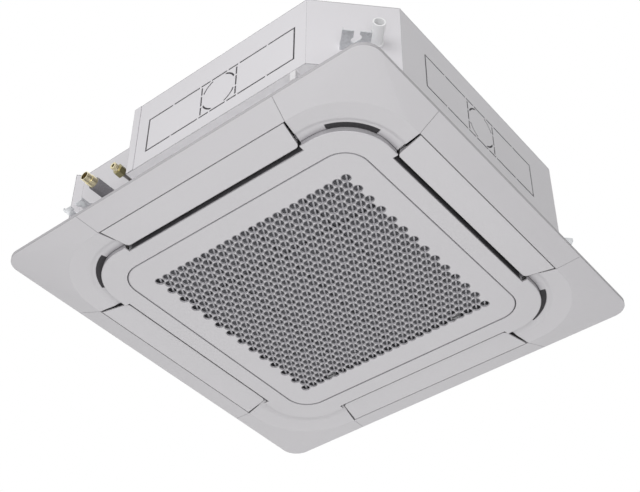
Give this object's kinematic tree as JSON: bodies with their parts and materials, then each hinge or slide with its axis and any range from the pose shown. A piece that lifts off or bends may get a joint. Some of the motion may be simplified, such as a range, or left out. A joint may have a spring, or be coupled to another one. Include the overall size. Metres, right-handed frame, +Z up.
{
  "type": "ceiling cassette air conditioner",
  "caption": "Square ceiling cassette unit: casing with pipe notch and hangers above the ceiling, panel with tilting louvers, hinged perforated grille, filter, fan and coil inside",
  "frame": {"origin": "centre of the panel's lowest plane, the lower face of the ring round the grille", "axes": "+Z up into the ceiling, -Y towards the side with the pipe notch, +X along that side away from the pipes"},
  "size_m": [0.95, 0.95, 0.328],
  "materials": {
    "panel_white": "satin moulded ABS",
    "louver_white": "satin moulded ABS",
    "grille_white": "fine matt moulded plastic",
    "backing_grey": "matt moulded plastic",
    "latch_grey": "matt moulded plastic",
    "filter_grey": "matt moulded plastic",
    "net_black": "woven plastic net",
    "steel_sheet": "coated galvanised sheet",
    "zinc_steel": "zinc plated",
    "foam_black": "closed cell foam",
    "foam_white": "expanded polystyrene",
    "seal_black": "soft foam rubber",
    "copper": "drawn copper tube",
    "brass": "turned brass",
    "nut_olive": "plated nut",
    "pipe_foam": "foam rubber tube",
    "drain_white": "moulded plastic",
    "pump_plastic": "moulded plastic",
    "bush_black": "acetal",
    "fins": "pressed fin sheet",
    "fan_plastic": "moulded plastic",
    "motor_grey": "coated casting",
    "bell_grey": "moulded plastic",
    "board_green": "coated board",
    "black_plastic": "moulded plastic"
  },
  "bodies": {
    "casing": {"panel_frame": "panel_white", "corner_cover_front_right": "panel_white", "corner_cover_back_right": "panel_white", "corner_cover_back_left": "panel_white", "corner_cover_front_left": "panel_white", "louver_bushes": "bush_black", "louver_motors": "zinc_steel", "duct_liners": "foam_black", "slot_baffles": "foam_black", "grille_hinge_pins": "zinc_steel", "panel_screws": "zinc_steel", "panel_seals": "seal_black", "panel_hooks": "drain_white", "base_skirt": "zinc_steel", "casing_shell": "steel_sheet", "pipe_corner_plate": "steel_sheet", "top_plate": "steel_sheet", "casing_liner": "foam_black", "casing_screws": "zinc_steel", "hanger_front_right": "zinc_steel", "hanger_back_right": "zinc_steel", "hanger_back_left": "zinc_steel", "hanger_front_left": "zinc_steel", "gas_pipe": "copper", "gas_pipe_insulation": "pipe_foam", "gas_union": "brass", "liquid_pipe": "copper", "liquid_nut": "nut_olive", "liquid_union": "brass", "drain_outlet": "drain_white", "drain_hose": "pipe_foam", "drain_pump": "pump_plastic", "float_switch": "black_plastic", "drain_pan": "foam_white", "coil_fins": "fins", "coil_end_plates": "zinc_steel", "coil_tubes": "copper", "fan_motor": "motor_grey", "motor_mounts": "seal_black", "bell_mouth": "bell_grey", "control_box": "zinc_steel", "control_box_cover": "zinc_steel", "circuit_board": "board_green", "terminal_block": "black_plastic", "cable_gland": "seal_black", "room_air_sensor": "black_plastic"},
    "louver_front": {"louver_front": "louver_white"},
    "louver_right": {"louver_right": "louver_white"},
    "louver_back": {"louver_back": "louver_white"},
    "louver_left": {"louver_left": "louver_white"},
    "grille": {"intake_grille": "grille_white", "grille_backing_bars": "backing_grey", "filter_frame": "filter_grey", "filter_net": "net_black"},
    "latch_left": {"latch_left": "latch_grey"},
    "latch_right": {"latch_right": "latch_grey"},
    "fan": {"turbo_fan": "fan_plastic", "fan_shaft": "zinc_steel", "fan_nut": "zinc_steel"}
  },
  "joints": [
    {"name": "front_louver_tilt", "type": "hinge", "parent": "casing", "child": "louver_front", "pos_m": [0, -0.367, 0.026], "axis": [1, 0, 0], "range_deg": [0, 45]},
    {"name": "right_louver_tilt", "type": "hinge", "parent": "casing", "child": "louver_right", "pos_m": [0.367, 0, 0.026], "axis": [0, 1, 0], "range_deg": [0, 45]},
    {"name": "back_louver_tilt", "type": "hinge", "parent": "casing", "child": "louver_back", "pos_m": [0, 0.367, 0.026], "axis": [-1, 0, 0], "range_deg": [0, 45]},
    {"name": "left_louver_tilt", "type": "hinge", "parent": "casing", "child": "louver_left", "pos_m": [-0.367, 0, 0.026], "axis": [0, -1, 0], "range_deg": [0, 45]},
    {"name": "grille_swing", "type": "hinge", "parent": "casing", "child": "grille", "pos_m": [0, -0.307, 0.0005], "axis": [-1, 0, 0], "range_deg": [0, 90]},
    {"name": "left_latch_slide", "type": "slide", "parent": "grille", "child": "latch_left", "axis": [0, -1, 0], "range_m": [0, 0.005], "stiffness_N_per_m": 300, "springref_m": -0.005},
    {"name": "right_latch_slide", "type": "slide", "parent": "grille", "child": "latch_right", "axis": [0, -1, 0], "range_m": [0, 0.005], "stiffness_N_per_m": 300, "springref_m": -0.005},
    {"name": "fan_spin", "type": "hinge", "parent": "casing", "child": "fan", "pos_m": [0, 0, 0.2], "axis": [0, 0, 1], "continuous": true}
  ]
}
